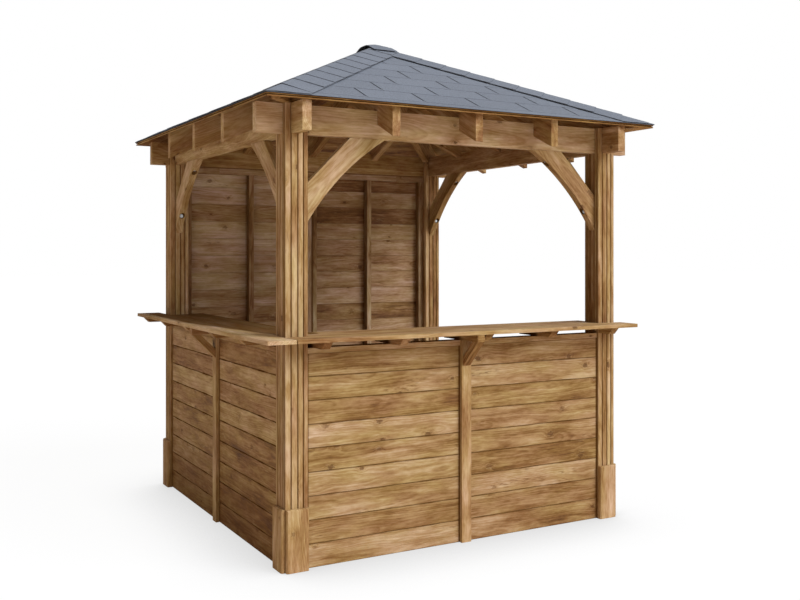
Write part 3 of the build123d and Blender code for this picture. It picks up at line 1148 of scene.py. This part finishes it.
# The back plinths and the bearers get darker tones as painted shade, near the ground and under the counter
for node, tone, along, across, depth, cells, dirt_and_shade in (
    ("wall_battens", 0.56, up, x_way, y_way, ((x_way + y_way * 0.3, (-0.6, 0.1)),), None),
    ("plinths_front", 0.54, up, x_way, y_way, ((x_way, (-1.035, 0, 1.035)), (y_way, (-1.035, 0))), None),
    ("plinths_back", 0.45, up, x_way, y_way, ((x_way, (-1.035, 0, 1.035)), (y_way, (0, 1.035))), None),
    ("counter_front", 0.52, x_way, y_way, up, ((y_way, board_joints),), None),
    ("counter_left", 0.64, y_way, x_way, up, ((x_way, board_joints),), counter_top_painted_shade),
    ("bearers_front", 0.36, y_way, x_way, up, ((x_way, (-0.6, -0.2, 0.04, 0.3, 0.7)),), bearer_shade(y_way)),
    ("bearers_left", 0.46, x_way, y_way, up, ((y_way, (-0.5, -0.1, 0.1, 0.5, 0.9)),), bearer_shade(x_way)),
):
    seed += 1
    place = turned_place(along, across, depth)
    dress(node, wood(f"{node}_wood", place, hashed(*cells, seed=seed), tone=tone, spread=0.16, grime_and_shade=dirt_and_shade))

seed += 1
rail_place = parted_place(-cap_rail_corner, turned_place(x_way, y_way, up), turned_place(y_way, x_way, up))
rail_member = hashed((x_way, (-cap_rail_corner,)), seed=seed)
dress("cap_rails", wood("cap_rail_wood", rail_place, rail_member, grime_and_shade=shaded_top))
between_struts = -0.5
strut_places = [
    turned_place((up - out_way).normalized(), side_way, (up + out_way).normalized())
    for out_way, side_way in ((y_way, x_way), (x_way, y_way))
]
strut_member = hashed((x_way, (between_struts,)), seed=seed + 1)
dress("counter_struts", wood(
    "strut_wood", parted_place(between_struts, *strut_places), strut_member, tone=0.37,
))

# Boards and roofing

deck_wood = wood("deck_wood", own_place, own_member, tone=0.37, grime_and_shade=groove_painted_shade, wash=(1, 0.95, 0.74))
# joint_dirt is the dirt in the outer joints; the next number is the strength of the painted shade towards
# the ground
for side, height, tone, spread, joint_dirt, foot_shade, wash in (
    ("front", low_wall_height, 0.515, 0.27, 0.72, 0.08, (0.97, 1.01, 1.02)),
    ("left", low_wall_height, 0.515, 0.29, 1.00, 0.50, None),
    ("back", beam_bottom, 0.48, 0.40, 0.90, 0.35, (0.98, 1.03, 1.25)),
):
    board_wood = wood(
        f"board_wood_{side}", own_place, own_member,
        tone=tone, spread=spread, grime_and_shade=wall_dirt_and_shade(side, joint_dirt, foot_shade), wash=wash, swirls=1,
    )
    board_wall(side, height).finish(board_wood, "boards", f"wall_boards_{side}")
for side in side_names:
    roof_boards(side).finish(deck_wood, "deck", f"roof_deck_{side}")

shingle_slate = slate("shingle_slate")
tabs = Piece("shingle_tabs")
for side in side_names:
    shingle_side(tabs, side)
tabs.finish(shingle_slate, "shingles", "roof_shingles")

caps = Piece("hip_cap_pieces")
for index, side in enumerate(side_names):
    hip_side(caps, side, side_names[index - 1])
caps.finish(shingle_slate, "shingles", "hip_caps")
apex_sheet().finish(shingle_slate, "shingles", "apex_cap")

# Floor and surroundings


def background_ray(graph):
    # 1 for what the camera sees directly, in gloss or through glass, and 0 for light on the object
    rays = graph.node("LightPath").outputs
    return graph.largest(*(rays[f"Is {kind} Ray"] for kind in ("Camera", "Glossy", "Transmission")))


floor_reach = 60.0
floor_drop = 0.0005
seen_paint = (0.060, 0.062, 0.064)
lit_paint = (0.90, 0.77, 0.66)
lamp_colour = (0.97, 1.0, 1.05)
sky_colour = (1.0, 0.82, 0.66)
sky_strength = 0.29
white = (1, 1, 1, 1)

floor_corners = [(x * floor_reach, y * floor_reach, 0) for x, y in ((-1, -1), (1, -1), (1, 1), (-1, 1))]
floor_mesh = bpy.data.meshes.new("floor")
floor_mesh.from_pydata(floor_corners, [], [(0, 1, 2, 3)])
floor = linked("floor", floor_mesh)
floor.location.z = -floor_drop
# The camera sees a white floor that keeps the shadow, and the object gets the light of a pale one
paint = Graph(bpy.data.materials.new("floor_paint"))
shown = background_ray(paint)
# Ambient occlusion dims the floor's glow near the object: a painted shadow around its base
openness = Number(paint, paint.node("AmbientOcclusion", {"Distance": 0.6}, samples=8).outputs["AO"])
level = shown * openness.spread(0.45, 0.93, 0.68, 0.950)
glow = paint.node("Emission", {"Color": white, "Strength": level})
both = paint.node("AddShader", {0: paint.shader.outputs[0], 1: glow.outputs[0]})
paint.put(paint.output.inputs["Surface"], both.outputs[0])
floor_mesh.materials.append(paint.surface({
    "Base Color": paint.mix(shown, lit_paint, seen_paint),
    "Roughness": 0.9,
    "Specular IOR Level": 0.0,
}))

world = Graph(bpy.data.worlds.new("surroundings"))
bpy.context.scene.world = world.surface({"Color": (*sky_colour, 1), "Strength": sky_strength})
backdrop = world.node("Background", {"Color": white, "Strength": 1.0})
picked = {0: background_ray(world), 1: world.shader.outputs[0], 2: backdrop.outputs[0]}
world.put(world.output.inputs["Surface"], world.node("MixShader", picked).outputs[0])

# A broad key from the front right and a soft one from overhead
for label, height, turn, strength, width in (
    ("key", 36, 35, 2.84, 40),
    ("overhead", 82, 0, 0.62, 100),
):
    lamp = bpy.data.lights.new(label, "SUN")
    lamp.energy = strength
    lamp.color = lamp_colour
    lamp.angle = math.radians(width)
    high, aside = math.radians(height), math.radians(turn)
    toward = Vector((math.sin(aside) * math.cos(high), -math.cos(aside) * math.cos(high), math.sin(high)))
    linked(label, lamp).rotation_euler = toward.to_track_quat("Z", "Y").to_euler()

lens = bpy.data.cameras.new("camera")
lens.sensor_width = 36
lens.lens = 43.28
lens.shift_y = -0.0593
lens.clip_end = 200
camera = linked("camera", lens)
camera.location = (-2.8301, -5.3594, 1.5494)
camera.rotation_euler = (math.radians(90), 0, math.radians(-29.32))
bpy.context.scene.camera = camera

bpy.context.scene.view_settings.view_transform = "Standard"
